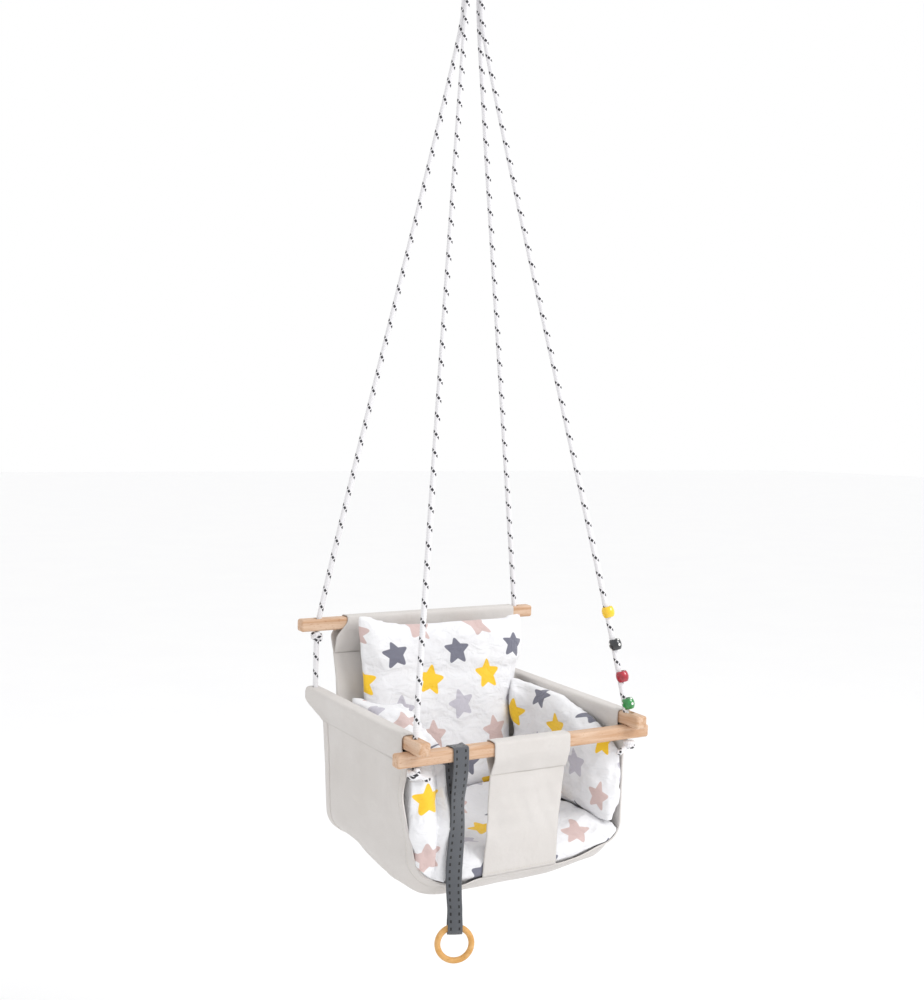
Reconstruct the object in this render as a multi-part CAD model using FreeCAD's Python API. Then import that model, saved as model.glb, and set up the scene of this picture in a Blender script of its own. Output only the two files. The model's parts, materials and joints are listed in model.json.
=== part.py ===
import FreeCAD, Part
import math
import os

# Toddler swing: a canvas tub seat on four wooden bars, hung by two ropes from one steel ring.
# Every piece is drawn in the seat frame, in millimetres: +X to the right as seen from the front,
# +Y to the back, +Z up, with zero at the front bar's middle and the side bars' top face.
# hung() then tips the seat about the ring's straight bar, until its weight hangs below the
# ring, and moves it to the row frame, whose origin is where a hook carries the ring.

os.makedirs("parts", exist_ok=True)

# Bars
BAR = 18.0                  # square section
BAR_ROUND = 3.5             # eased edges
CROSS_BAR_LENGTH = 402.0    # front and back bars
ROPE_HALF_SPACING = 173.0   # rope holes either side of the middle
SEAT_DEPTH = 306.0          # front holes to back holes
BACK_BAR_RISE = 104.0       # top of the back bar above the top of the side bars
FRONT_OVERHANG = 28.0       # side bar past its front hole
REAR_OVERHANG = 10.0
HOLE_RADIUS = 5.0
HOLE_EASE = 1.5

# Ropes and the ring they hang from
ROPE = 8.0
HINGE_Y = 207.5             # the ring stands above this line of the seat
HINGE_Z = 1062.0            # the ring's straight bar above the side bars
TILT = 2.05                 # degrees the seat tips forward as it hangs
STRAND_GAP = 0.2
KNOT_BOTTOM = 1004.0        # of the loop knots under the ring
KNOT_TOP = 1034.0
KNOT_HALF_SPACING = 11.5
RING_WIRE = 8.0
RING_HALF_WIDTH = 26.0
RING_CORNER = 8.0
RING_SIDE = 8.0
RUNNING_GAP = 0.3           # between pieces on different bodies

# Canvas
CLOTH = 2.0
CANVAS_FRONT = 12.0
CANVAS_CORNER = 60.0        # outer radius of the tub's lower corners
CANVAS_LOW_FRONT = -206.0   # underside at the front hem
BELLY_Y = 60.0              # the seat sags lowest here
CANVAS_LOW_BELLY = -222.0
CANVAS_LOW_REAR = -196.0
PANEL_SPLIT = -122.0        # side panels end and the seat panel begins
SLEEVE_FRONT = 14.0
SLEEVE_REAR = 318.0
SLEEVE_FOOT = -40.0
BACK_SLEEVE_SHIFT = 18.0    # the back panel's sleeve has slid along its bar
BACK_SLEEVE_WIDTH = 292.0
CROTCH_WIDTH = 120.0
CROTCH_SHIFT = 3.0
CROTCH_SEAM = -62.0

# Ribbon and wooden ring
RIBBON_X = -109.0
RIBBON_WIDTH = 23.0
RIBBON = 1.4
RIBBON_LOOP = 11.7          # inside radius of its loop, which clears the bar's corners
RIBBON_JOIN = 68.0          # below the front bar's middle
RIBBON_TURN = 24.0          # degrees the ribbon has turned towards its lower end
RING_DROP = 230.0           # front bar's middle to the top of the wooden ring's section
WOOD_RING_RADIUS = 22.5
WOOD_RING_WIRE = 8.0

# Beads on the right front rope: name and distance of the middle along the rope from its hole
BEADS = (("green", 12.0), ("red", 51.0), ("black", 97.0), ("yellow", 144.0))
BEAD_RADIUS = 9.0
BEAD_HALF_LENGTH = 7.5
BEAD_END_RADIUS = 6.8
BEAD_BORE = 4.9

X = FreeCAD.Vector(1, 0, 0)
Y = FreeCAD.Vector(0, 1, 0)
Z = FreeCAD.Vector(0, 0, 1)
FRONT_BAR_Z = -1.5 * BAR
BACK_BAR_Z = BACK_BAR_RISE - BAR / 2
RING_EYE = RING_CORNER + RING_SIDE + RING_HALF_WIDTH - RING_WIRE / 2


def vec(x, y, z):
    return FreeCAD.Vector(x, y, z)


def hung(shape):
    """The shape as the hanging seat carries it, in the row frame."""
    placed = shape.copy()
    placed.translate(vec(0, -HINGE_Y, -HINGE_Z))
    placed.rotate(vec(0, 0, 0), X, TILT)
    placed.translate(vec(0, 0, -RING_EYE))
    return placed


def hung_point(point):
    turned = FreeCAD.Rotation(X, TILT).multVec(point - vec(0, HINGE_Y, HINGE_Z))
    return turned + vec(0, 0, -RING_EYE)


def save(name, shape):
    print(f"{name:24s} valid {shape.isValid()}  solids {len(shape.Solids)}"
          f"  {shape.Volume / 1000:9.2f} cm3  x {shape.BoundBox.XMin:.1f} {shape.BoundBox.XMax:.1f}"
          f"  y {shape.BoundBox.YMin:.1f} {shape.BoundBox.YMax:.1f}"
          f"  z {shape.BoundBox.ZMin:.1f} {shape.BoundBox.ZMax:.1f}")
    shape.exportStep(f"parts/{name}.step")


def prism(points, along):
    """A closed outline, swept straight along a vector."""
    outline = Part.makePolygon([*points, points[0]])
    return Part.Face(outline).extrude(along)


def side_prism(outline, x_low, x_high):
    """An outline of (y, z) points, from one x to another."""
    return prism([vec(x_low, y, z) for y, z in outline], X * (x_high - x_low))


def front_prism(outline, y_low, y_high):
    """An outline of (x, z) points, from one y to another."""
    return prism([vec(x, y_low, z) for x, z in outline], Y * (y_high - y_low))


def softened(solid, radius):
    return solid.makeFillet(radius, solid.Edges)


# ---------------------------------------------------------------- bars

def rope_hole(x, y, top):
    """A drilled hole with eased mouths, through a bar whose top face is at this height."""
    hole = Part.makeCylinder(HOLE_RADIUS, BAR + 2, vec(x, y, top - BAR - 1))
    wide = HOLE_RADIUS + HOLE_EASE
    upper = Part.makeCone(HOLE_RADIUS, wide, HOLE_EASE, vec(x, y, top - HOLE_EASE))
    lower = Part.makeCone(wide, HOLE_RADIUS, HOLE_EASE, vec(x, y, top - BAR))
    return hole.fuse([upper, lower])


def cross_bar(y, top):
    bar = Part.makeBox(CROSS_BAR_LENGTH, BAR, BAR, vec(-CROSS_BAR_LENGTH / 2, y - BAR / 2, top - BAR))
    bar = softened(bar, BAR_ROUND)
    return bar.cut([rope_hole(side * ROPE_HALF_SPACING, y, top) for side in (-1, 1)])


def side_bar(side):
    length = FRONT_OVERHANG + SEAT_DEPTH + REAR_OVERHANG
    corner = vec(side * ROPE_HALF_SPACING - BAR / 2, -FRONT_OVERHANG, -BAR)
    bar = softened(Part.makeBox(BAR, length, BAR, corner), BAR_ROUND)
    return bar.cut([rope_hole(side * ROPE_HALF_SPACING, y, 0) for y in (0, SEAT_DEPTH)])


# ---------------------------------------------------------------- ropes

def rope_route(side):
    """The points of one whole rope: from its knot under the front bar, up through both bars to
    the ring, over the ring's bar, and down through the back bar to the side bar's rear end."""
    near = (ROPE + STRAND_GAP) / 2
    bight = ROPE / 2 + RING_WIRE / 2 + RUNNING_GAP
    corner = bight * math.tan(math.radians(22.5))
    x_knot = side * KNOT_HALF_SPACING
    x_hole = side * ROPE_HALF_SPACING
    x_touch = side * 15.3
    return [
        vec(x_hole, 0, -2 * BAR),
        vec(x_hole, 0, 1),
        vec(x_touch, HINGE_Y - near, 940),
        vec(x_knot, HINGE_Y - near, KNOT_BOTTOM),
        vec(x_knot, HINGE_Y - near, KNOT_TOP),
        vec(x_knot, HINGE_Y - bight, HINGE_Z - 8),
        vec(x_knot, HINGE_Y - bight, HINGE_Z + corner),
        vec(x_knot, HINGE_Y - corner, HINGE_Z + bight),
        vec(x_knot, HINGE_Y + corner, HINGE_Z + bight),
        vec(x_knot, HINGE_Y + bight, HINGE_Z + corner),
        vec(x_knot, HINGE_Y + bight, HINGE_Z - 8),
        vec(x_knot, HINGE_Y + near, KNOT_TOP),
        vec(x_knot, HINGE_Y + near, KNOT_BOTTOM),
        vec(x_touch, HINGE_Y + near, 940),
        vec(x_hole, SEAT_DEPTH, BACK_BAR_RISE + 1),
        vec(x_hole + side * 0.5, SEAT_DEPTH, BACK_BAR_RISE - 42),
        vec(x_hole, SEAT_DEPTH, -BAR),
    ]


def rounded_path(points, tight=()):
    """Straight runs joined by tangent arcs. Corners in tight are half the run long, so that
    neighbours meet in one smooth bend round the ring's bar."""
    edges = []
    radii = []
    start = points[0]
    for i in range(1, len(points) - 1):
        before = points[i - 1] - points[i]
        after = points[i + 1] - points[i]
        half_turn = (math.pi - before.getAngle(after)) / 2
        share = 0.5 if i in tight else 0.45
        reach = share * min(before.Length, after.Length)
        radius = reach / math.tan(half_turn)
        if radius < 0.5 * min(before.Length, after.Length) / 1e3:
            raise ValueError("the route folds back on itself")
        enter = points[i] + before.normalize() * reach
        leave = points[i] + after.normalize() * reach
        inward = (before + after).normalize()
        middle = points[i] + inward * (radius / math.cos(half_turn) - radius)
        if (enter - start).Length > 1e-6:
            edges.append(Part.LineSegment(start, enter).toShape())
        edges.append(Part.Arc(enter, middle, leave).toShape())
        radii.append(round(radius, 1))
        start = leave
    edges.append(Part.LineSegment(start, points[-1]).toShape())
    return Part.Wire(edges), radii


def rope(side):
    path, radii = rounded_path(rope_route(side), tight=(6, 7, 8, 9))
    section = Part.Wire(Part.makeCircle(ROPE / 2, rope_route(side)[0], Z))
    solid = path.makePipeShell([section], True, False)
    expected = math.pi * (ROPE / 2) ** 2 * path.Length
    print(f"rope length {path.Length:.1f} mm, bend radii {radii}")
    print(f"rope volume {solid.Volume:.0f} mm3, section times length {expected:.0f} mm3")
    return solid


def barrel(radius, height, rounding, foot):
    body = Part.makeCylinder(radius, height, foot)
    rims = [edge for edge in body.Edges if edge.Closed]
    return body.makeFillet(rounding, rims)


def loop_knot(side):
    """Both strands of a rope tied under the ring."""
    x = side * KNOT_HALF_SPACING
    height = KNOT_TOP - KNOT_BOTTOM
    knot = barrel(10.8, height, 6, vec(x, HINGE_Y, KNOT_BOTTOM))
    near = (ROPE + STRAND_GAP) / 2
    strands = [Part.makeCylinder(ROPE / 2 + 0.5, height + 2, vec(x, HINGE_Y + d, KNOT_BOTTOM - 1))
               for d in (-near, near)]
    return knot.cut(strands)


def back_knot(side):
    """The knot on which the back bar rests."""
    foot = vec(side * ROPE_HALF_SPACING, SEAT_DEPTH, BACK_BAR_RISE - BAR - 17)
    bore = Part.makeCylinder(ROPE / 2 + 0.9, 20, foot - vec(0, 0, 1))
    return barrel(9.5, 17, 5, foot).cut(bore)


def front_knot(side):
    """The knot under the front bar, with the rope's free tail pointing inwards."""
    foot = vec(side * ROPE_HALF_SPACING, 0, -2 * BAR - 18)
    knot = barrel(9.5, 18, 5, foot)
    tail_way = vec(-side * 0.9, -0.15, -0.4).normalize()
    tail = Part.makeCylinder(ROPE / 2, 25, foot + vec(0, 0, 9), tail_way)
    return knot.fuse(tail)


def end_button(side):
    """The rope's melted end under the side bar's rear hole, inside the sleeve."""
    return barrel(6, 6, 2, vec(side * ROPE_HALF_SPACING, SEAT_DEPTH, -BAR - 6))


def hanging_ring():
    """A D ring: a straight bar for the ropes, and a round top for the hook."""
    half = RING_HALF_WIDTH
    c = RING_CORNER
    top = c + RING_SIDE
    slack = c * (1 - math.sqrt(0.5))

    def line(x1, z1, x2, z2):
        return Part.LineSegment(vec(x1, 0, z1), vec(x2, 0, z2)).toShape()

    def arc(x1, z1, x2, z2, x3, z3):
        return Part.Arc(vec(x1, 0, z1), vec(x2, 0, z2), vec(x3, 0, z3)).toShape()

    path = Part.Wire([
        line(0, 0, half - c, 0),
        arc(half - c, 0, half - slack, slack, half, c),
        line(half, c, half, top),
        arc(half, top, 0, top + half, -half, top),
        line(-half, top, -half, c),
        arc(-half, c, -half + slack, slack, -half + c, 0),
        line(-half + c, 0, 0, 0),
    ])
    section = Part.Wire(Part.makeCircle(RING_WIRE / 2, vec(0, 0, 0), X))
    ring = path.makePipeShell([section], True, False)
    ring.translate(vec(0, 0, -RING_EYE))
    return ring


# ---------------------------------------------------------------- beads

def bead_way():
    route = rope_route(1)
    return (route[2] - route[1]).normalize()


def bead(distance):
    low = vec(BEAD_BORE, 0, -BEAD_HALF_LENGTH)
    high = vec(BEAD_BORE, 0, BEAD_HALF_LENGTH)
    rim_low = vec(BEAD_END_RADIUS, 0, -BEAD_HALF_LENGTH)
    rim_high = vec(BEAD_END_RADIUS, 0, BEAD_HALF_LENGTH)
    outline = Part.Wire([
        Part.LineSegment(low, rim_low).toShape(),
        Part.Arc(rim_low, vec(BEAD_RADIUS, 0, 0), rim_high).toShape(),
        Part.LineSegment(rim_high, high).toShape(),
        Part.LineSegment(high, low).toShape(),
    ])
    body = Part.Face(outline).revolve(vec(0, 0, 0), Z, 360)
    body = Part.Solid(Part.Shell(body.Faces)) if not body.Solids else body.Solids[0]
    turn = FreeCAD.Rotation(Z, bead_way())
    body.Placement = FreeCAD.Placement(rope_route(1)[1] + bead_way() * distance, turn)
    return body


# ---------------------------------------------------------------- canvas

def sleeve(side):
    """The tube of canvas round a side bar, which narrows to the seam under it."""
    x = ROPE_HALF_SPACING
    outer = [(-11.5, 1.6), (11.5, 1.6), (11.8, -16), (2, SLEEVE_FOOT), (-2, SLEEVE_FOOT), (-11.8, -16)]
    inner = [(-9.5, 0.4), (9.5, 0.4), (9.7, -16.5), (0.6, -37), (-0.6, -37), (-9.7, -16.5)]
    tube = front_prism([(side * (x + u), z) for u, z in outer], SLEEVE_FRONT, SLEEVE_REAR)
    tube = tube.cut(front_prism([(side * (x + u), z) for u, z in inner], 0, SLEEVE_REAR + 10))
    rear_slant = [(SLEEVE_REAR + 1, -22), (SLEEVE_REAR + 1, -60), (262, -60), (262, SLEEVE_FOOT)]
    tube = tube.cut(side_prism(rear_slant, side * x - 20, side * x + 20))
    rope_slit = Part.makeCylinder(ROPE / 2 + RUNNING_GAP, 10, vec(side * x, SEAT_DEPTH, -4))
    return tube.cut(rope_slit)


def back_line(z):
    """Front face of the back panel at a height: steeper below the side bars."""
    if z > -45:
        return 260 + (z + 45) * (303 - 260) / (56 + 45)
    return 260 + (z + 45) * (260 - 238) / (185 - 45)


def behind_back(clear):
    """Everything from just in front of the back panel backwards, for trimming the tub."""
    outline = [(back_line(z) - clear, z) for z in (100, -45, -260)]
    return side_prism([*outline, (500, -260), (500, 100)], -300, 300)


def side_panel(side):
    x = side * ROPE_HALF_SPACING - CLOTH / 2
    wall = Part.makeBox(CLOTH, 300, SLEEVE_FOOT - PANEL_SPLIT, vec(x, CANVAS_FRONT, PANEL_SPLIT))
    return sleeve(side).fuse(wall.cut(behind_back(0.2))).removeSplitter()


def tub_section(y, low):
    """The closed outline of the seat panel's canvas at one depth."""
    outer = ROPE_HALF_SPACING + CLOTH / 2
    edges = []
    ends = []
    for inset in (0, CLOTH):
        half = outer - inset
        radius = CANVAS_CORNER - inset
        floor = low + inset
        middle = radius * (1 - math.sqrt(0.5))
        corner_top = floor + radius
        stops = [vec(-half, y, PANEL_SPLIT), vec(-half, y, corner_top), vec(-half + radius, y, floor),
                 vec(half - radius, y, floor), vec(half, y, corner_top), vec(half, y, PANEL_SPLIT)]
        left = vec(-half + middle, y, floor + middle)
        right = vec(half - middle, y, floor + middle)
        edges += [Part.LineSegment(stops[0], stops[1]).toShape(),
                  Part.Arc(stops[1], left, stops[2]).toShape(),
                  Part.LineSegment(stops[2], stops[3]).toShape(),
                  Part.Arc(stops[3], right, stops[4]).toShape(),
                  Part.LineSegment(stops[4], stops[5]).toShape()]
        ends.append((stops[0], stops[5]))
    edges += [Part.LineSegment(ends[0][i], ends[1][i]).toShape() for i in (0, 1)]
    return Part.Wire(Part.__sortEdges__(edges))


def seat_panel():
    """The bottom of the tub, from side panel to side panel, which sags behind its front hem."""
    rear = 262.0
    tub = Part.makeLoft([tub_section(CANVAS_FRONT, CANVAS_LOW_FRONT),
                         tub_section(BELLY_Y, CANVAS_LOW_BELLY),
                         tub_section(rear, CANVAS_LOW_REAR)], True, True)
    return tub.cut(behind_back(0.2))


def back_panel():
    """The panel behind the child, with the sleeve that holds it on the back bar."""
    rear = SEAT_DEPTH
    zc = BACK_BAR_Z
    outer = [(rear - 11, zc - 8), (rear - 11, zc + 9), (rear - 8, zc + 11.4), (rear + 8, zc + 11.4),
             (rear + 11, zc + 9), (rear + 11, zc - 9), (rear - 1, zc - 44), (rear - 5, zc - 44)]
    inner = [(rear - 9.4, zc - 9.4), (rear - 9.4, zc + 9.4), (rear + 9.4, zc + 9.4),
             (rear + 9.4, zc - 9.4), (rear - 1.5, zc - 38), (rear - 3.5, zc - 38)]
    left = BACK_SLEEVE_SHIFT - BACK_SLEEVE_WIDTH / 2
    right = BACK_SLEEVE_SHIFT + BACK_SLEEVE_WIDTH / 2
    tube = side_prism(outer, left, right).cut(side_prism(inner, left - 1, right + 1))
    heights = (zc - 40, -45, -206)
    front = [(back_line(z), z) for z in heights]
    back = [(back_line(z) + CLOTH, z) for z in reversed(heights)]
    sheet = side_prism([*front, *back], -200, 200)
    half = ROPE_HALF_SPACING - CLOTH / 2
    waist = half - 16
    outline = [(left, zc), (right, zc), (waist, -8), (waist, -41), (half, -44), (half, -140),
               (half - 14, -172), (half - 44, -194), (-half + 44, -194), (-half + 14, -172),
               (-half, -140), (-half, -44), (-waist, -41), (-waist, -8)]
    return tube.fuse(sheet.common(front_prism(outline, 200, 340))).removeSplitter()


def crotch_strap():
    """The strap between the child's legs, with its sleeve on the front bar."""
    zc = FRONT_BAR_Z
    left = CROTCH_SHIFT - CROTCH_WIDTH / 2
    right = CROTCH_SHIFT + CROTCH_WIDTH / 2
    seam = CROTCH_SEAM
    outer = [(-11, zc - 9), (-11, zc + 9), (-8, zc + 12), (8, zc + 12), (11, zc + 9), (11, zc - 9),
             (1.8, seam - 2), (-1.8, seam - 2)]
    inner = [(-9.4, zc - 9.4), (-9.4, zc + 9.4), (-7, zc + 10.4), (7, zc + 10.4), (9.4, zc + 9.4),
             (9.4, zc - 9.4), (0.5, seam + 3), (-0.5, seam + 3)]
    tube = side_prism(outer, left, right).cut(side_prism(inner, left - 1, right + 1))
    foot = CANVAS_LOW_FRONT + 1
    strap = side_prism([(-1.5, seam), (1.5, seam), (CANVAS_FRONT - 0.2, foot + 4),
                        (CANVAS_FRONT - 0.2, foot), (CANVAS_FRONT - 3, foot)], left, right)
    return tube.fuse(strap).removeSplitter()


# ---------------------------------------------------------------- cushions

def back_cushion():
    """A square pillow that leans on the back panel."""
    depth = 34.0
    top, bottom = 104.0, -144.0
    lean = (292.0 - 240.0) / (top - bottom)

    def face(z, forward):
        return 291.0 - (top - z) * lean - forward

    band = side_prism([(face(top, 0), top), (face(bottom, 0), bottom),
                       (face(bottom, depth), bottom), (face(top, depth), top)], -200, 200)
    outline = [(-123, top), (168, top), (158, 14), (134, -22), (130, bottom), (-119, bottom)]
    body = band.common(front_prism(outline, 150, 340))
    return softened(body, 9)


def seat_cushion():
    thick = 38.0
    length = 200.0
    body = softened(Part.makeBox(264, length, thick, vec(-132, 0, 0)), 11)
    slope = math.degrees(math.atan2(CANVAS_LOW_REAR - CANVAS_LOW_FRONT, 250))
    body.rotate(vec(0, 0, 0), X, slope)
    body.translate(vec(0, 23, CANVAS_LOW_FRONT + CLOTH + 1.5))
    return body


def side_cushion(side):
    outline = [(147, -6), (158, -3), (159.5, -24), (169, -47), (171, -60), (171, -134),
               (162, -152), (144, -156), (139, -60)]
    slab = front_prism([(side * x, z) for x, z in outline], 24, 224)
    ends = [edge for edge in slab.Edges if abs(edge.CenterOfMass.y - 124) > 90]
    return slab.makeFillet(3.5, ends)


# ---------------------------------------------------------------- ribbon and wooden ring

def ribbon_hinge():
    return hung_point(vec(0, 0, FRONT_BAR_Z))


def drop_shape(radius, tip, low, left, right):
    """A solid between two planes across X, round about the bar's middle and drawn in straight
    to a narrow tip below it."""
    lean = math.acos(radius / -low)
    side, foot = radius * math.sin(lean), -radius * math.cos(lean)
    tail = side_prism([(-side, foot), (side, foot), (tip, low), (-tip, low)], left, right)
    disc = Part.makeCylinder(radius, right - left, vec(left, 0, 0), X)
    return disc.fuse(tail)


def ribbon():
    """A folded ribbon over the front bar, which ends in a sewn loop round the wooden ring.
    It hangs plumb, whatever the seat's tilt."""
    hinge = ribbon_hinge()
    left, right = -RIBBON_WIDTH / 2, RIBBON_WIDTH / 2
    low = -RIBBON_JOIN
    top_loop = drop_shape(RIBBON_LOOP + RIBBON, RIBBON, low, left, right)
    top_loop = top_loop.cut(drop_shape(RIBBON_LOOP, 0.3, low + 4, left - 1, right + 1))

    def level(z, turn):
        corners = [vec(left, -RIBBON, z), vec(right, -RIBBON, z), vec(right, RIBBON, z),
                   vec(left, RIBBON, z)]
        wire = Part.makePolygon([*corners, corners[0]])
        wire.rotate(vec(0, 0, 0), Z, turn)
        return wire

    neck = -RING_DROP + 20
    turned = Part.makeLoft([level(low + 0.5, 0), level(neck, -RIBBON_TURN)], True, True)
    grip = WOOD_RING_WIRE / 2 + 1.9
    wide = grip + RIBBON
    eye = -RING_DROP
    loop = side_prism([(-RIBBON, neck), (RIBBON, neck), (wide, eye + 4), (wide, eye - 4),
                       (wide - 2.6, eye - 10.4), (-wide + 2.6, eye - 10.4), (-wide, eye - 4),
                       (-wide, eye + 4)], left, right)
    hollow = side_prism([(-0.4, neck - 5), (0.4, neck - 5), (grip, eye + 4), (grip, eye - 4),
                         (grip - 1.8, eye - 9), (-grip + 1.8, eye - 9), (-grip, eye - 4),
                         (-grip, eye + 4)], left - 1, right + 1)
    loop = loop.cut(hollow)
    loop.rotate(vec(0, 0, 0), Z, -RIBBON_TURN)
    strap = top_loop.fuse([turned, loop]).removeSplitter()
    strap.translate(vec(RIBBON_X, hinge.y, hinge.z))
    return strap


def wooden_ring():
    hinge = ribbon_hinge()
    ring = Part.makeTorus(WOOD_RING_RADIUS, WOOD_RING_WIRE / 2, vec(0, 0, 0), Y)
    ring.rotate(vec(0, 0, 0), Z, -RIBBON_TURN)
    ring.translate(vec(RIBBON_X, hinge.y, hinge.z - RING_DROP - WOOD_RING_RADIUS))
    return ring


# ---------------------------------------------------------------- the whole swing

SIDES = (("left", -1), ("right", 1))

save("hanging_ring", hanging_ring())
save("front_bar", hung(cross_bar(0, -BAR)))
save("back_bar", hung(cross_bar(SEAT_DEPTH, BACK_BAR_RISE)))
for word, side in SIDES:
    save(f"{word}_side_bar", hung(side_bar(side)))
    save(f"{word}_rope", hung(rope(side)))
    save(f"{word}_loop_knot", hung(loop_knot(side)))
    save(f"{word}_back_knot", hung(back_knot(side)))
    save(f"{word}_front_knot", hung(front_knot(side)))
    save(f"{word}_rope_end", hung(end_button(side)))
    save(f"{word}_side_panel", hung(side_panel(side)))
    save(f"{word}_side_cushion", hung(side_cushion(side)))
save("seat_panel", hung(seat_panel()))
save("back_panel", hung(back_panel()))
save("crotch_strap", hung(crotch_strap()))
save("back_cushion", hung(back_cushion()))
save("seat_cushion", hung(seat_cushion()))
save("ribbon_strap", ribbon())
save("wooden_ring", wooden_ring())
for colour, distance in BEADS:
    save(f"{colour}_bead", hung(bead(distance)))

print("swing hinge", vec(0, 0, -RING_EYE))
print("ribbon hinge", ribbon_hinge())
print("bead way", FreeCAD.Rotation(X, TILT).multVec(bead_way()))
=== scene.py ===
# %% [markdown]
# # A canvas baby swing
# The real swing is sewn and knotted by hand: four beech bars, one sling of off-white canvas
# with a sleeve for each bar, padded cotton cushions printed with stars, and two braided ropes
# that carry the bars and meet in a steel ring. The wooden bars, the beads and the ring
# are hard and exact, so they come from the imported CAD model. Cloth, cushions, rope and ribbon
# are modelled here, over the soft solids that the CAD model keeps for collision.

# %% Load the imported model
import json
import math
from functools import partial

import bmesh
import bpy
import numpy as np
from mathutils import Matrix, Vector, noise


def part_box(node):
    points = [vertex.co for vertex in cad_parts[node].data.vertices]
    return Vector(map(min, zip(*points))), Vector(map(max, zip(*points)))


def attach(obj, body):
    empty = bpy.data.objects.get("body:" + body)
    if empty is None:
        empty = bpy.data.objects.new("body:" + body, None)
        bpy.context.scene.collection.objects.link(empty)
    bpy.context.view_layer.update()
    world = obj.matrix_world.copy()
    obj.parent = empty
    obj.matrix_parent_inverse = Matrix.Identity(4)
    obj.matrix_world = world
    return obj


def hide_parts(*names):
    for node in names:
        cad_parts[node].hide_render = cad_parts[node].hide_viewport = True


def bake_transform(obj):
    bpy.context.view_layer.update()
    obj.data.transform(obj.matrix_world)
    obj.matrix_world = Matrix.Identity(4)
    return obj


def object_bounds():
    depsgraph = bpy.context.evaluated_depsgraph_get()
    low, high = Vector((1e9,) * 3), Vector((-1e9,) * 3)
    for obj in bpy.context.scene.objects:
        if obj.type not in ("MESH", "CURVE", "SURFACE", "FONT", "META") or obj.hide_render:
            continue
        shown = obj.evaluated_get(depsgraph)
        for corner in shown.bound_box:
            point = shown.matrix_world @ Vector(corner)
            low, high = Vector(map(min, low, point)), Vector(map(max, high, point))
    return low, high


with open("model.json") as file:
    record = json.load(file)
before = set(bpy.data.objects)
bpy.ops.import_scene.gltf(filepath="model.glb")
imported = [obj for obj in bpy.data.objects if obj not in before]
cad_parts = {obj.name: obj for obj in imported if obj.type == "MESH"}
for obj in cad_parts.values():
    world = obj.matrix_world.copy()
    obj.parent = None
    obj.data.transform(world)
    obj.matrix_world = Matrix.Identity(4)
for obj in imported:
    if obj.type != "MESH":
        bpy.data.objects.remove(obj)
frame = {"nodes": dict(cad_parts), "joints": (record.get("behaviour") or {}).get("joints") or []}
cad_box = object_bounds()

# %% [markdown]
# ## One place for every measure
# The seat is drawn level, in millimetres from the middle of its front bar, because that is how
# it is cut and sewn. The finished seat hangs about 1.1 m under its ring and tips forward by two
# degrees. One matrix carries every seat point to its hanging place, in metres.

# %% The seat's own frame
hinges = {joint["name"]: Vector(joint["pos_m"]) for joint in frame["joints"]
          if joint["type"] == "hinge"}
HALF = 173.0               # from the middle to a side bar and its rope, in mm
REAR = 306.0               # from the front bar back to the back bar
BACK_BAR_HIGH = 95.0       # from the front bar up to the back bar
RING_BACK = 207.5          # from the front bar back to the steel ring's hinge
RING_HIGH = 1062.0         # from the front bar up to the hinge
SIDES = (("left", -1), ("right", 1))
TILT = math.radians(2.05)
HINGE_IN_SEAT = Vector((0, RING_BACK / 1000, RING_HIGH / 1000))
SEAT = (Matrix.Translation(hinges["swing_fore_aft"]) @ Matrix.Rotation(TILT, 4, "X")
        @ Matrix.Translation(-HINGE_IN_SEAT))


def seat(x, y, z):
    """A point given in the seat's millimetres, where it hangs."""
    return SEAT @ (Vector((x, y, z)) * 0.001)


def between(low, high, amount):
    return low + (high - low) * amount


def eased(value, low, high):
    """0 below low, 1 above high, with a soft start and end."""
    t = min(max((value - low) / (high - low), 0), 1)
    return t * t * (3 - 2 * t)


def hump(value, middle, width):
    """1 at the middle, falling softly to 0 about two widths away."""
    return math.exp(-((value - middle) / width) ** 2)


def ripple(x, y, z=0.0):
    """Smooth, repeatable unevenness, mostly between -0.5 and 0.5, as in handled cloth."""
    return noise.noise(Vector((x, y, z)))


def read_off(table, value, column):
    """A column of a table whose first column rises, read between its rows."""
    return np.interp(value, [row[0] for row in table], [row[column] for row in table])


# %% [markdown]
# ## The camera
# The swing is seen from the front and left, a little above the seat, from about two metres.
# A camera looks along its own -Z, so its matrix is built from a yaw, a pitch and a small roll.

# %% Set up the camera
camera_data = bpy.data.cameras.new("camera")
camera_data.sensor_width = 36
camera_data.lens = 47.23
camera = bpy.data.objects.new("camera", camera_data)
bpy.context.scene.collection.objects.link(camera)
yaw, pitch, roll = (math.radians(a) for a in (30.783, -2.969, 0.88))
camera.matrix_world = (Matrix.Translation((-0.9731, -1.6210, -0.7153))
                       @ Matrix.Rotation(-yaw, 4, "Z")
                       @ Matrix.Rotation(math.pi / 2 + pitch, 4, "X")
                       @ Matrix.Rotation(roll, 4, "Z"))
bpy.context.scene.camera = camera
print("camera lens", camera_data.lens, "mm")

# %% [markdown]
# ## Finishes
# Every finish is a small tree of shader nodes. A helper keeps the trees short: it adds a node,
# fills its sockets with numbers or with other nodes' outputs, and returns its output.

# %% A helper for building materials


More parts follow.
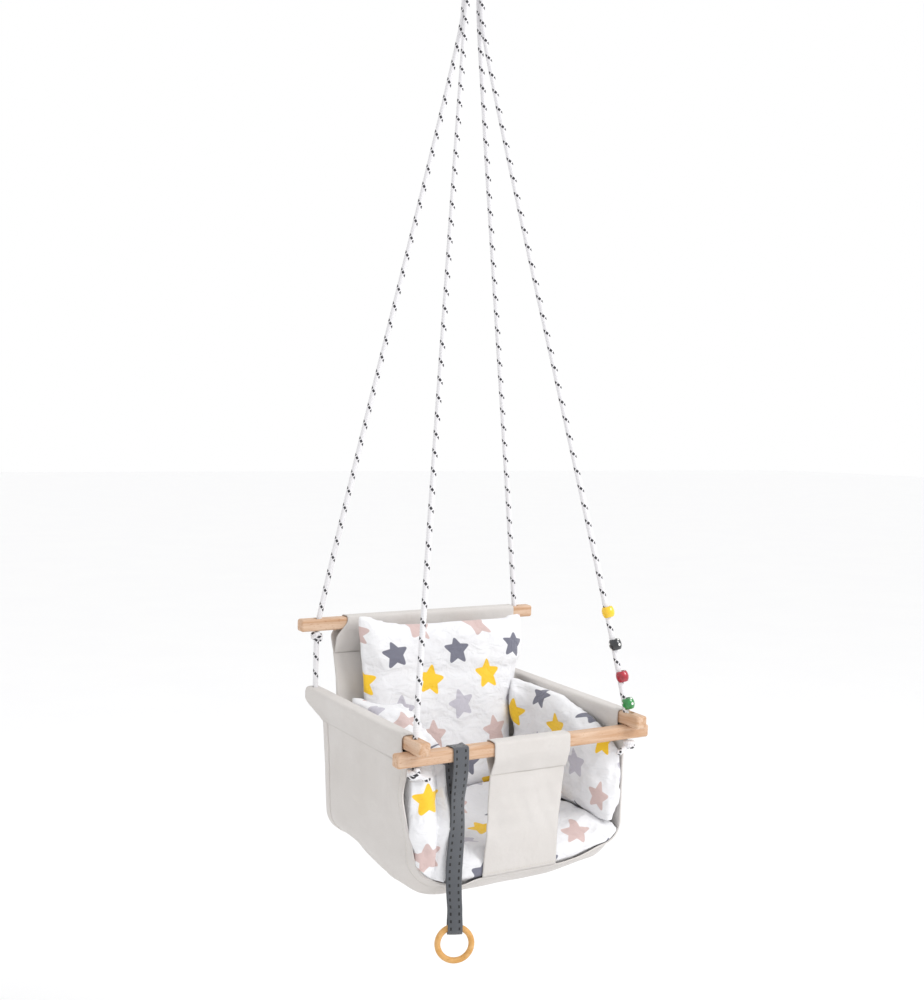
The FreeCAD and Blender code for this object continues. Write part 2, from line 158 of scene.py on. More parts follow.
class Finish:
    """One material, whose nodes are joined as they are added."""

    def __init__(self, name, **shader):
        self.material = bpy.data.materials.new(name)
        self.material.use_nodes = True
        self.tree = self.material.node_tree
        self.shader = self.tree.nodes["Principled BSDF"]
        self.fill(self.shader, {key.replace("_", " "): value for key, value in shader.items()})

    def fill(self, node, inputs):
        for socket, value in inputs.items():
            if isinstance(value, bpy.types.NodeSocket):
                self.tree.links.new(value, node.inputs[socket])
            else:
                node.inputs[socket].default_value = value

    def add(self, kind, inputs=None, out=0, **settings):
        node = self.tree.nodes.new("ShaderNode" + kind)
        for setting, value in settings.items():
            setattr(node, setting, value)
        self.fill(node, inputs or {})
        return node.outputs[out]

    def math(self, operation, *values):
        return self.add("Math", dict(enumerate(values)), operation=operation)

    def place(self):
        """Where a point is on the whole object, in metres."""
        return self.add("TexCoord", out="Object")

    def cloth_place(self):
        """Where a point is on the cut cloth, in metres."""
        uv = self.add("UVMap", uv_map="cloth")
        split = self.add("SeparateXYZ", {0: uv})
        return split, split.node.outputs[1]

    def speckle(self, where, scale, detail=3.0, **more):
        return self.add("TexNoise", {"Vector": where, "Scale": scale, "Detail": detail, **more})

    def stretched(self, where, scale):
        return self.add("Mapping", {"Vector": where, "Scale": scale})

    def wave(self, way, pitch):
        return self.math("SINE", self.math("MULTIPLY", way, math.tau / pitch))

    def weave(self, across, along, pitch):
        """Threads that pass over and under each other, from -1 to 1."""
        return self.math("MULTIPLY", self.wave(across, pitch), self.wave(along, pitch))

    def level(self, value, low, high, to_low=0.0, to_high=1.0):
        """A value's range turned into another, with its ends held."""
        return self.add("MapRange", {0: value, 1: low, 2: high, 3: to_low, 4: to_high})

    def strip(self, value, middle, inner, outer):
        """1 where a value is within inner of the middle, 0 where it is outer or more away."""
        away = self.math("ABSOLUTE", self.math("SUBTRACT", value, middle))
        return self.level(away, inner, outer, 1.0, 0.0)

    def mix(self, amount, first, second):
        return self.add("Mix", {0: amount, 6: first, 7: second}, out=2, data_type="RGBA")

    def colour(self, socket):
        self.fill(self.shader, {"Base Color": socket})

    def rough(self, socket):
        self.fill(self.shader, {"Roughness": socket})

    def bumps(self, *heights):
        """Bump from several (height, depth in metres) pairs, one over another."""
        normal = None
        for height, depth in heights:
            inputs = {"Height": height, "Distance": depth, "Strength": 1.0}
            if normal is not None:
                inputs["Normal"] = normal
            normal = self.add("Bump", inputs)
        self.fill(self.shader, {"Normal": normal})


def tint(text):
    """A colour given as a paint code, in the linear light that the shader wants."""
    parts = [int(text[i:i + 2], 16) / 255 for i in (0, 2, 4)]
    return (*[p / 12.92 if p < 0.04045 else ((p + 0.055) / 1.055) ** 2.4 for p in parts], 1.0)


# %% [markdown]
# ### Beech
# The bars are planed beech, rubbed with oil but not varnished. Its grain runs along the bar in
# pale and darker stripes, with short dark flecks. Noise that is stretched along the bar gives
# the stripes, and finer, shorter noise gives the flecks.

# %% Beech and the wooden ring


def beech(name, along, light="D4B79E", dark="BE9675", fleck="A87655"):
    """Wood whose grain runs along one axis, 0 for X and 1 for Y."""
    wood = Finish(name, Roughness=0.5, Specular_IOR_Level=0.35)
    where = wood.place()
    stripes = [28.0, 28.0, 28.0]
    stripes[along] = 1.6
    bands = wood.speckle(wood.stretched(where, stripes), 6.0, 4.0, Distortion=0.6)
    fine = [160.0, 160.0, 160.0]
    fine[along] = 9.0
    fibres = wood.speckle(wood.stretched(where, fine), 6.0, 2.0)
    short = [190.0, 190.0, 190.0]
    short[along] = 45.0
    dashes = wood.level(wood.speckle(wood.stretched(where, short), 4.0, 1.0), 0.62, 0.72)
    base = wood.mix(wood.level(bands, 0.36, 0.64), tint(light), tint(dark))
    base = wood.mix(wood.level(fibres, 0.45, 0.85, 0.0, 0.4), base, tint(dark))
    wood.colour(wood.mix(wood.math("MULTIPLY", dashes, 0.45), base, tint(fleck)))
    wood.rough(wood.level(bands, 0.3, 0.7, 0.42, 0.58))
    wood.bumps((fibres, 0.00025), (dashes, 0.0001))
    return wood.material


cross_bar_wood = beech("beech_across", 0)
side_bar_wood = beech("beech_along", 1)
ring_wood = beech("honey_beech", 0, "DAAB6E", "CE9A55", "A9743A")

# %% [markdown]
# ### Painted beads and steel
# Each bead is turned wood dipped in gloss paint, which pools a little unevenly. The ring that
# the ropes hang from is drawn steel wire, dull with fine marks round it.

# %% Bead paint and steel


def bead_paint(name, colour, second, middle=None):
    """Gloss paint. Where a bead's middle is given, small white dots go round it."""
    paint = Finish(name, Roughness=0.18, Specular_IOR_Level=0.6, Coat_Weight=0.6,
                   Coat_Roughness=0.06)
    where = paint.place()
    cloud = paint.speckle(where, 140.0, 2.0)
    base = paint.mix(paint.level(cloud, 0.35, 0.7), tint(colour), tint(second))
    if middle is not None:
        moved = paint.add("Mapping", {"Vector": where, "Location": [-c for c in middle]})
        cells = paint.add("TexVoronoi", {"Vector": moved, "Scale": 115.0, "Randomness": 0.35})
        base = paint.mix(paint.level(cells, 0.20, 0.25, 1.0, 0.0), base, tint("F4F4F0"))
    else:
        paint.bumps((paint.speckle(where, 260.0, 1.0), 0.00025))
    paint.colour(base)
    return paint.material


steel = Finish("drawn_steel", Roughness=0.34, Metallic=1.0)
steel_marks = steel.speckle(steel.stretched(steel.place(), (60, 900, 60)), 5.0, 4.0)
steel.colour(steel.mix(steel_marks, tint("A9ACAE"), tint("D2D4D5")))
steel.rough(steel.level(steel_marks, 0.3, 0.7, 0.26, 0.46))
steel.bumps((steel_marks, 0.0002))

# %% Give the hard parts their finishes


def finish_node(name, material):
    """Puts a finish into every material slot of a CAD part."""
    node = frame["nodes"][name]
    if not node.material_slots:
        node.data.materials.append(material)
    for part_slot in node.material_slots:
        part_slot.material = material


for name in ("front_bar", "back_bar"):
    finish_node(name, cross_bar_wood)
for name in ("left_side_bar", "right_side_bar"):
    finish_node(name, side_bar_wood)
finish_node("wooden_ring", ring_wood)
finish_node("hanging_ring", steel.material)


def node_middle(name):
    low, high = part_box(name)
    return (Vector(low) + Vector(high)) / 2


for colour, light, dark in (("yellow", "F6CB22", "E9B90E"), ("red", "B0122E", "8E0B22")):
    finish_node(f"{colour}_bead", bead_paint(f"{colour}_paint", light, dark))
for colour, light, dark in (("green", "1B8A3C", "0F6E2C"), ("black", "15171C", "22252B")):
    finish_node(f"{colour}_bead",
                bead_paint(f"{colour}_paint", light, dark, node_middle(f"{colour}_bead")))

# %% [markdown]
# ## Cells of cloth
# Rope, ribbon and canvas are all made from one idea: a flat grid of small cells, like the cloth
# on the cutting table, whose corners are then moved to where they hang. The flat size goes into
# a UV map in metres, so weave and print keep their real scale however the cloth bends.

# %% Helpers for cloth and tubes


def piece_from(bm, name, material, body="swing"):
    """Turns a bmesh into a finished object that rides on a body, unless body is None."""
    mesh = bpy.data.meshes.new(name)
    bm.to_mesh(mesh)
    bm.free()
    mesh.shade_smooth()
    mesh.materials.append(material)
    piece = bpy.data.objects.new(name, mesh)
    bpy.context.scene.collection.objects.link(piece)
    if body:
        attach(piece, body)
    return piece


def laid_grid(across, along, size, place):
    """A grid of cells whose corner at (u, v), each from 0 to 1, goes to place(u, v)."""
    bm = bmesh.new()
    bmesh.ops.create_grid(bm, x_segments=across, y_segments=along, size=0.5)
    cloth = bm.loops.layers.uv.new("cloth")
    for face in bm.faces:
        for loop in face.loops:
            u, v = loop.vert.co.x + 0.5, loop.vert.co.y + 0.5
            loop[cloth].uv = (u * size[0], v * size[1])
    for corner in bm.verts:
        corner.co = place(corner.co.x + 0.5, corner.co.y + 0.5)
    return bm


def thicken(piece, thickness):
    """Gives a sheet its thickness, half to each side."""
    wall = piece.modifiers.new("thickness", "SOLIDIFY")
    wall.thickness = thickness
    wall.offset = 0
    wall.use_even_offset = True
    return piece


def nurbs_line(points):
    """The smooth line that follows control points, as evenly spaced points."""
    curve = bpy.data.curves.new("line", "CURVE")
    curve.dimensions = "3D"
    spline = curve.splines.new("NURBS")
    spline.points.add(len(points) - 1)
    for control, place in zip(spline.points, points):
        control.co = (*place, 1)
    spline.order_u = 3
    spline.use_endpoint_u = True
    spline.resolution_u = 24
    holder = bpy.data.objects.new("line", curve)
    mesh = bpy.data.meshes.new_from_object(holder)
    line = np.array([corner.co[:] for corner in mesh.vertices])
    bpy.data.objects.remove(holder)
    bpy.data.meshes.remove(mesh)
    return line


class Along:
    """Places, and a frame that doesn't twist, at any distance along a line."""

    def __init__(self, line, step):
        gaps = np.linalg.norm(np.diff(line, axis=0), axis=1)
        line = line[np.concatenate(([True], gaps > 1e-7))]
        gaps = np.linalg.norm(np.diff(line, axis=0), axis=1)
        reach = np.concatenate(([0.0], np.cumsum(gaps)))
        self.length = float(reach[-1])
        self.count = max(2, round(self.length / step))
        even = np.linspace(0, self.length, self.count + 1)
        self.points = np.stack([np.interp(even, reach, line[:, k]) for k in range(3)], axis=1)
        ways = np.gradient(self.points, axis=0)
        self.ways = ways / np.linalg.norm(ways, axis=1)[:, None]
        side = np.cross(self.ways[0], (0.0, 1.0, 0.0))
        if np.linalg.norm(side) < 0.2:
            side = np.cross(self.ways[0], (1.0, 0.0, 0.0))
        sides = []
        for way in self.ways:
            side = side - way * side.dot(way)
            side = side / np.linalg.norm(side)
            sides.append(side)
        self.sides = np.array(sides)
        self.ups = np.cross(self.ways, self.sides)

    def at(self, share):
        """The point at a share of the whole length, from 0 to 1."""
        return self.points[min(self.count, max(0, round(share * self.count)))]


def folded_line(corners):
    """The line, in millimetres, along which a strip of cloth is folded."""
    return Along(nurbs_line([Vector((*corner, 0)) for corner in corners]), 1.0)


# %% [markdown]
# ## The ropes
# Each side of the swing hangs from one braided cord: up from the side bar's front hole, round
# the steel ring, down to the back bar and on to the side bar's rear hole. The cord is cotton
# white with one black yarn, which goes round it once every 25 mm and dives under the others,
# so it shows as slanting dashes. The braid's small hills are real geometry, set by how far round
# and how far along each corner is.

# %% The braided finish
BRAID_TURN = 0.025
STRANDS = 6
ROPE_RADIUS = 0.004
ROPE_APART = 11.5          # each rope passes through the ring this far from its middle, in mm

braid = Finish("braided_cotton", Roughness=0.72, Sheen_Weight=0.25, Sheen_Roughness=0.5)
braid_u, braid_v = braid.cloth_place()
braid_turns = braid.math("DIVIDE", braid_v, BRAID_TURN)
one_way = braid.math("ADD", braid_u, braid_turns)
other_way = braid.math("SUBTRACT", braid_u, braid_turns)
yarn = braid.strip(braid.math("FRACT", one_way), 0.5, 0.09, 0.115)
over = braid.strip(braid.math("FRACT", braid.math("MULTIPLY", other_way, 3.0)), 0.5, 0.33, 0.37)
dark_yarn = braid.math("MULTIPLY", yarn, over)
# The grooves between the strands are painted grey, as painted shade, on top of the braid's real
# hills.
painted_groove_shade = braid.level(braid.weave(one_way, other_way, 1 / STRANDS), -0.9, -0.1, 1.0, 0.0)
cotton = braid.mix(braid.math("MULTIPLY", painted_groove_shade, 0.6), tint("E9E8EA"), tint("BEBBC3"))
braid.colour(braid.mix(dark_yarn, cotton, tint("26252B")))
braid.bumps((braid.speckle(braid.place(), 2200.0, 2.0), 0.0004))

# %% The rope route, and a tube that follows it


def rope_route(side):
    """The rope's control points: hole, ring, back bar, rear hole."""
    near, bight = 4.1, 8.3     # from the ring's middle to the legs, and to the turn over it
    corner = bight * math.tan(math.radians(22.5))
    front, back, out = RING_BACK - near, RING_BACK + near, ROPE_APART
    route = [(HALF, 0, -36), (HALF, 0, 1), (15.3, front, 940), (out, front, 1004),
             (out, front, 1034), (out, RING_BACK - bight, 1054),
             (out, RING_BACK - bight, RING_HIGH + corner),
             (out, RING_BACK - corner, RING_HIGH + bight),
             (out, RING_BACK + corner, RING_HIGH + bight),
             (out, RING_BACK + bight, RING_HIGH + corner),
             (out, RING_BACK + bight, 1054), (out, back, 1034), (out, back, 1004),
             (15.3, back, 940), (HALF, REAR, 105), (HALF + 0.5, REAR, 62), (HALF, REAR, -18)]
    return [seat(side * x, y, z) for x, y, z in route]


def rope_tube(name, line, radius=ROPE_RADIUS, around=28, step=0.001):
    """A braided tube along a line, closed at both ends."""
    path = Along(line, step)

    def place(u, v):
        i = round(v * path.count)
        turn, run = math.tau * u, v * path.length / BRAID_TURN
        hills = abs(math.cos(math.pi * STRANDS * (u + run))
                    * math.cos(math.pi * STRANDS * (u - run)))
        r = radius - 0.00028 + 0.00042 * hills
        if v < 1e-9 or v > 1 - 1e-9:
            r *= 0.001
        out = math.cos(turn) * path.sides[i] + math.sin(turn) * path.ups[i]
        return Vector(path.points[i] + r * out)

    bm = laid_grid(around, path.count, (1.0, path.length), place)
    bmesh.ops.remove_doubles(bm, verts=bm.verts, dist=1e-6)
    bmesh.ops.recalc_face_normals(bm, faces=bm.faces)
    bmesh.ops.remove_doubles(bm, verts=bm.verts, dist=2e-5)
    piece = piece_from(bm, name, braid.material)
    return piece, path


ropes = {}
for word, side in SIDES:
    rope, path = rope_tube(f"{word}_braided_rope", nurbs_line(rope_route(side)))
    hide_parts(f"{word}_rope")
    ropes[word] = (rope, path)
    print(word, "rope", round(path.length, 4), "m,", len(rope.data.polygons), "faces")

# %% [markdown]
# ## Knots
# A stopper knot is one more length of the same cord, wound round itself. A few control points
# on a helix give its wraps, and the tails come out below. The bundle under the steel ring is
# both legs of a cord whipped together by three wraps.

# %% Wind the knots


def wound(middle, radius, height, turns, start=0.0):
    """Control points of wraps round an upright axis, given in seat millimetres."""
    x, y, z = middle
    per_turn = 8
    count = turns * per_turn
    points = []
    for i in range(count + 1):
        angle = start + math.tau * i / per_turn
        points.append(seat(x + radius * math.cos(angle), y + radius * math.sin(angle),
                           z + height * (i / count - 0.5)))
    return points


def knot_piece(name, points, node, radius=ROPE_RADIUS):
    piece, path = rope_tube(name, nurbs_line(points), radius=radius, around=20, step=0.0012)
    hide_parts(node)
    print(name, "uses", round(path.length * 1000), "mm of cord")
    return piece


for word, side in SIDES:
    x = HALF * side
    out = -side * 0.9
    tail = [seat(x + out * d, -0.15 * d, -47 - 0.4 * d) for d in (7, 14, 20, 24.5)]
    knots = [
        knot_piece(f"{word}_ring_whipping", wound((ROPE_APART * side, RING_BACK, 1019), 6.6, 22, 3),
                   f"{word}_loop_knot"),
        knot_piece(f"{word}_back_bar_knot", wound((x, REAR, 77.5), 5.4, 8.5, 2, start=side),
                   f"{word}_back_knot"),
        knot_piece(f"{word}_front_stopper_knot",
                   wound((x, 0, -45.5), 5.4, -9, 2, start=side * 2.0) + tail, f"{word}_front_knot"),
        knot_piece(f"{word}_rear_stopper", wound((x, REAR, -21.5), 2.4, -1.5, 1, start=side),
                   f"{word}_rope_end", radius=0.0034)]
    rope, path = ropes[word]
    [Vector(p) for p in path.points]

# %% [markdown]
# ## Canvas
# The sling is heavy undyed cotton canvas. Close up it is a plain weave: threads that pass over
# and under each other, about one to a millimetre, with slubs that make it a little uneven.
# Folded hems and rows of stitches stiffen its edges.

# %% Canvas and thread finishes


def canvas_finish(name, colour, shade):
    cloth = Finish(name, Roughness=0.85, Sheen_Weight=0.2, Sheen_Roughness=0.6,
                   Specular_IOR_Level=0.2)
    across, along = cloth.cloth_place()
    weave = cloth.weave(across, along, 0.0011)
    where = cloth.place()
    cloud = cloth.speckle(where, 9.0, 4.0)
    slubs = cloth.speckle(cloth.stretched(where, (40, 40, 300)), 4.0, 2.0)
    base = cloth.mix(cloth.level(cloud, 0.3, 0.7), tint(colour), tint(shade))
    base = cloth.mix(cloth.level(slubs, 0.55, 0.8, 0.0, 0.35), base, tint(shade))
    # Where the threads dip under each other the weave is painted a little darker: painted shade.
    cloth.colour(cloth.mix(cloth.level(weave, -1.0, 0.2, 0.1, 0.0), base, tint("A79F92")))
    cloth.bumps((weave, 0.00012), (cloth.speckle(where, 60.0, 3.0), 0.0012))
    return cloth.material


CANVAS_THICK = 0.0013
SLEEVE_THICK = 0.001
HEM_THICK = 0.0009
canvas = canvas_finish("off_white_canvas", "DAD6D3", "D0CBC7")
thread = Finish("sewing_thread", Roughness=0.6, Sheen_Weight=0.3)
thread.colour(thread.mix(thread.speckle(thread.place(), 900.0), tint("E4E0D8"), tint("CFC9BE")))


def canvas_piece(name, cells, flat, place, thickness):
    """A canvas sheet with a flat size in metres."""
    return thicken(piece_from(laid_grid(*cells, flat, place), name, canvas),
                   thickness)


# %% [markdown]
# ## The sling
# One wide piece of canvas runs down from the left sleeve, across under the child, and up to the
# right sleeve. Its cut is flat, so the piece is a grid whose width follows a U section and whose
# length runs from the front hem to the back panel. The section changes a little from front to
# back: the seat sags behind its front hem, and the left corner is drawn in more than the right.

# %% The sling's section and edges
HEM_BACK = 12.0            # the front hem is this far behind the front bar
SEAM_ALLOWANCE = 13.0      # the sling goes this far past the back panel
SLEEVE_FOOT = -40.0
SLING_FLAT = (0.672, 0.249)


def back_line(z):
    """How far back the canvas behind the child is, at a height."""
    if z > -45:
        return 260 + (z + 45) * 43 / 101
    return 260 + (z + 45) * 22 / 140


def floor_level(y):
    """The sling's underside: it sags behind its front hem and rises to the rear."""
    if y < 90:
        return between(-205, -231, eased(y, 8, 46))
    return between(-231, -197, eased(y, 60, 290))


def corner_rise(x, y):
    """The hem is drawn up on its way to the right-hand wall."""
    return 17 * eased(x, 64, 158) * hump(y, HEM_BACK, 55)


def sling_section(share, y, out=0.0):
    """A point of the U: share runs from the left seam, 0, to the right seam, 1."""
    low = floor_level(y)
    left_round = np.interp(y, [12, 100, 180, 250], [72.0, 64.0, 55.0, 32.0])
    right_round = between(28.0, 58.0, eased(y, 20, 160))
    rounds = (left_round, right_round)
    left_wall, right_wall = (SLEEVE_FOOT - (low + round_by) for round_by in rounds)
    left_bend, right_bend = (round_by * math.pi / 2 for round_by in rounds)
    base = 2 * HALF - left_round - right_round
    run = share * (left_wall + left_bend + base + right_bend + right_wall)
    if run < left_wall:
        return -HALF - out, SLEEVE_FOOT - run, -1, 0
    run -= left_wall
    if run < left_bend:
        angle = run / left_round
        nx, nz = -math.cos(angle), -math.sin(angle)
        return (-HALF + left_round + (left_round + out) * nx,
                low + left_round + (left_round + out) * nz, nx, nz)
    run -= left_bend
    if run < base:
        return -HALF + left_round + run, low - out, 0, -1
    run -= base
    if run < right_bend:
        angle = run / right_round
        nx, nz = math.sin(angle), -math.cos(angle)
        return (HALF - right_round + (right_round + out) * nx,
                low + right_round + (right_round + out) * nz, nx, nz)
    run -= right_bend
    return HALF + out, low + right_round + run, 1, 0


def sling_point(share, back, out=0.0):
    """A point of the sling: share across from seam to seam, back from front hem to rear."""
    y = HEM_BACK
    for _ in range(3):
        z = sling_section(share, y)[1]
        y = between(HEM_BACK, back_line(z) + SEAM_ALLOWANCE, back)
    x, z, nx, nz = sling_section(share, y, out)
    edge = min(back, 1 - back) * 4
    give = 2.2 * ripple(x * 0.011, y * 0.013, z * 0.016)
    give += 1.1 * ripple(x * 0.03, y * 0.02, z * 0.05)
    under_seam = 1.6 * ripple(y * 0.045, z * 0.008, 5 + x * 0.01) * eased(z, -130, -50)
    push = (give + under_seam) * min(1.0, 0.35 + edge)
    push += 3.5 * abs(nx) * hump(z, -110, 38) * hump(y, 135, 70)
    if nx < 0:
        push += (8 * hump(z, -78, 28) - 6 * hump(z, -150, 22)) * hump(y, HEM_BACK, 50)
    leg = hump(x, -88, 18) * 5.5 + hump(x, 112, 26) * 3.0
    if nz < -0.5:
        push += leg * hump(y, HEM_BACK, 16)
    return seat(x + nx * push, y, z + nz * push + corner_rise(x, y) * eased(-z, 120, 170))


# %% Cut and hang the sling


def sling_strip(name, start, end, cells_back, out, thickness):
    """The sling, or a second layer on it, between two shares of the way from front to back."""

    def place(u, v):
        return sling_point(u, between(start, end, v), out)

    flat = (SLING_FLAT[0], (end - start) * SLING_FLAT[1])
    return canvas_piece(name, (220, cells_back), flat, place, thickness)


sling = sling_strip("sling_canvas", 0, 1, 80, 0.0, CANVAS_THICK)
front_hem = sling_strip("sling_front_hem", 0, 0.052, 6, 1.0, HEM_THICK)
rear_hem = sling_strip("sling_rear_hem", 0.945, 1, 6, 1.0, HEM_THICK)
print("sling cut", SLING_FLAT[0], "x", SLING_FLAT[1], "m")

# %% [markdown]
# ## Rows of stitches
# Each stitch is a tiny rounded lozenge of thread, one every 4 mm, lying along the seam. The
# shape has few faces because there are many hundreds of them.

# %% A row of stitches
STITCH_PITCH = 0.0042
STITCH_LENGTH = 0.0029
STITCH_WIDTH = 0.0009


def stitch_row(name, points):
    """Short stitches along a list of points, as one piece."""
    path = Along(np.array([p[:] for p in points]), STITCH_PITCH)
    bm = bmesh.new()
    for point, way, side, up in zip(path.points, path.ways, path.sides, path.ups):
        shape = Matrix((way * STITCH_LENGTH / 2, side * STITCH_WIDTH / 2, up * STITCH_WIDTH / 2))
        bmesh.ops.create_icosphere(
            bm, subdivisions=1, radius=1.0,
            matrix=Matrix.Translation(Vector(point)) @ shape.transposed().to_4x4())
    return piece_from(bm, name, thread.material)


def hem_row(name, back):
    """Stitches on top of a hem, from one sleeve to the other."""
    return stitch_row(name, [sling_point(i / 160, back, 1.55) for i in range(161)])


hem_rows = [hem_row("front_hem_stitches", 0.044), hem_row("rear_hem_stitches", 0.953)]

# %% [markdown]
# ## Sleeves on the side bars
# The top of each wall is folded over its bar and sewn back on itself, which makes a sleeve with
# a drop-shaped section. It is tight over the bar and narrows to the seam below it. The ends are
# open, and the rear end is cut on a slant.

# %% Sew the side sleeves
HALF_SECTION = [(0.9, -41), (2.2, -37), (6.6, -28), (10.9, -17), (10.9, -9), (10.9, -1.5),
                (8.0, 1.2)]
SLEEVE_LENGTH = 0.303
sleeve_loop = folded_line([*HALF_SECTION, (0, 0.9),
                           *((-x, z) for x, z in reversed(HALF_SECTION))])


def sleeve_point(side, around, back):
    dx, dz, _ = sleeve_loop.at(around)
    rear = between(276, 315, eased(dz, -44, -14))
    y = between(14, rear, back)
    loose = 0.9 + 1.6 * eased(-dz, 10, 34)
    puff = loose * (0.5 + ripple(y * 0.03, dz * 0.06, side * 7 + dx * 0.03))
    puff += 0.8 * ripple(y * 0.09, dz * 0.04, side * 3)
    outward = dx / 10.9
    if dz > -4:
        puff = max(0.0, puff) * 0.5
    return seat(HALF * side + dx + outward * max(0.0, puff) * eased(-dz, -2, 6), y,
                dz + (0.5 * max(0.0, puff) if dz > -2 else 0))


for word, side in SIDES:
    canvas_piece(
        f"{word}_bar_sleeve", (sleeve_loop.count, 90), (sleeve_loop.length * 0.001, SLEEVE_LENGTH),
        partial(sleeve_point, side), SLEEVE_THICK)
    stitch_row(f"{word}_sleeve_stitches",
               [seat(side * (HALF + 1.6), y, -38.5) for y in range(16, 262, 4)])
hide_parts("left_side_panel", "right_side_panel", "seat_panel")

# %% [markdown]
# ## The back panel
# The panel behind the child is a narrower piece. It goes up from the sling, over the back bar and
# down again to a seam, so its sleeve is wider than the bar and stands open at the end. It is
# drawn in at the waist, where the side bars pass.

# %% Cut and hang the back panel
BACK_SECTION = [(-5.4, -43), (-7.5, -34), (-10.4, -18), (-10.4, -4), (-10.4, 8.5), (-7, 10.7),
                (0, 10.8), (7, 10.7), (10.4, 8.5), (10.4, -4), (10.4, -14), (3.6, -34),
                (-2.2, -43)]
back_loop = folded_line(BACK_SECTION)
BACK_WIDTHS = [(-192, -142, 142), (-178, -164, 164), (-155, -171.5, 171.5), (-46, -171.5, 171.5),
               (-41, -158, 158), (-8, -152, 156), (20, -149, 160), (56, -147, 164),
               (104, -128, 164)]      # height, left edge, right edge


def back_point(u, z, out=0.0):
    x = between(read_off(BACK_WIDTHS, z, 1), read_off(BACK_WIDTHS, z, 2), u)
    waves = 2.2 * ripple(x * 0.012, z * 0.014, 3) + 1.0 * ripple(x * 0.05, z * 0.012, 8)
    return seat(x, back_line(z) + 1.2 + out + waves * eased(-z, -50, -30), z)


def back_sleeve_point(u, v):
    dy, dz, _ = back_loop.at(v)
    x = between(between(-128, -146, eased(-dz, -6, 22)), 164, u)
    puff = 1.2 * max(0.0, ripple(x * 0.02, dz * 0.05, 11) + 0.3)
    if dz > -8:
        puff *= 0.3
    return seat(x, REAR + dy + math.copysign(puff, dy), BACK_BAR_HIGH + dz)


def back_panel_point(u, v):
    return back_point(u, between(-190, 53, v))


back_sleeve_flat = (0.292, back_loop.length * 0.001)
back_sheet = canvas_piece("back_panel_canvas", (90, 80), (0.33, 0.262), back_panel_point,
                          CANVAS_THICK)
back_sleeve = canvas_piece("back_bar_sleeve", (90, back_loop.count), back_sleeve_flat,
                           back_sleeve_point, SLEEVE_THICK)
back_seam = stitch_row("back_seam_stitches", [back_point(i / 60, 55, -1.6) for i in range(61)])
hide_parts("back_panel")

# %% [markdown]
# ## The crotch strap
# A strap between the child's legs joins the front bar to the front hem. It is the same canvas,
# with a sleeve round the bar, a seam below it and a slack, creased strap from there down.

# %% Cut and hang the crotch strap
CROTCH_SECTION = [(1.0, -35), (5, -24), (10.5, -11), (10.5, 0), (10.5, 9), (8, 11), (0, 11.2),
                  (-8, 11), (-10.5, 9), (-10.5, 0), (-10.5, -11), (-5.5, -24), (-1.0, -35)]
STRAP_FLAT = (0.120, 0.146)
crotch_loop = folded_line(CROTCH_SECTION)


def crotch_sleeve_point(u, v):
    dy, dz, _ = crotch_loop.at(v)
    x = between(-57.5, 63.5, u)
    puff = 1.6 * max(0.0, ripple(x * 0.03, dz * 0.05, 21) + 0.25) * eased(-dz, -6, 14)
    sag = 0.6 * ripple(x * 0.05, 4.0, 2.0)
    return seat(x, dy + math.copysign(puff, dy), -27 + dz + sag)


def crotch_strap_point(u, v, out=0.0):
    z = between(-60, -205, v)
    narrow = 1.5 * hump(v, 0.55, 0.4)
    x = between(-57.5 + narrow, 63.0 - narrow * 2.2, u)
    y = between(0.0, 10.5, v)
    crease = 2.4 * ripple(x * 0.045 + z * 0.02, z * 0.02, 31)
    crease += 1.2 * ripple(x * 0.02, z * 0.07, 35)
    bow = -3.5 * math.sin(math.pi * v) * math.sin(math.pi * u)
    return seat(x, y + bow + crease * math.sin(math.pi * min(1, v * 1.3 + 0.05)) - out, z)


crotch_sleeve_flat = (0.121, crotch_loop.length * 0.001)
crotch_sleeve = canvas_piece("crotch_strap_sleeve", (50, crotch_loop.count), crotch_sleeve_flat,
                             crotch_sleeve_point, SLEEVE_THICK)
crotch_body = canvas_piece("crotch_strap_canvas", (50, 60), STRAP_FLAT, crotch_strap_point,
                           CANVAS_THICK)
crotch_rows = [stitch_row(f"crotch_{edge}_stitches",
                          [crotch_strap_point(i / 30, down, 1.2) for i in range(31)])
               for edge, down in (("seam", 0.02), ("foot", 0.97))]
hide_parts("crotch_strap")

# %% [markdown]
# ## Star cotton
# The cushions are covered in thin white cotton with a printed repeat of five-pointed stars.
# The rows are 40 mm apart and each is shifted by half a step from the last, and the colours
# take turns row by row. In nodes, two lattices cover the odd and the even rows. Each finds its
# nearest star, turns and shifts it a little, and folds the angle five times, so that one
# straight edge draws all ten sides. The print reads each cover's own map, so that it turns
# the corner with the cloth.

# %% Print the stars
STAR_STEP = 0.104
STAR_ROW = 0.040
STAR_TIP = 0.0252
STAR_WAIST = 0.0120


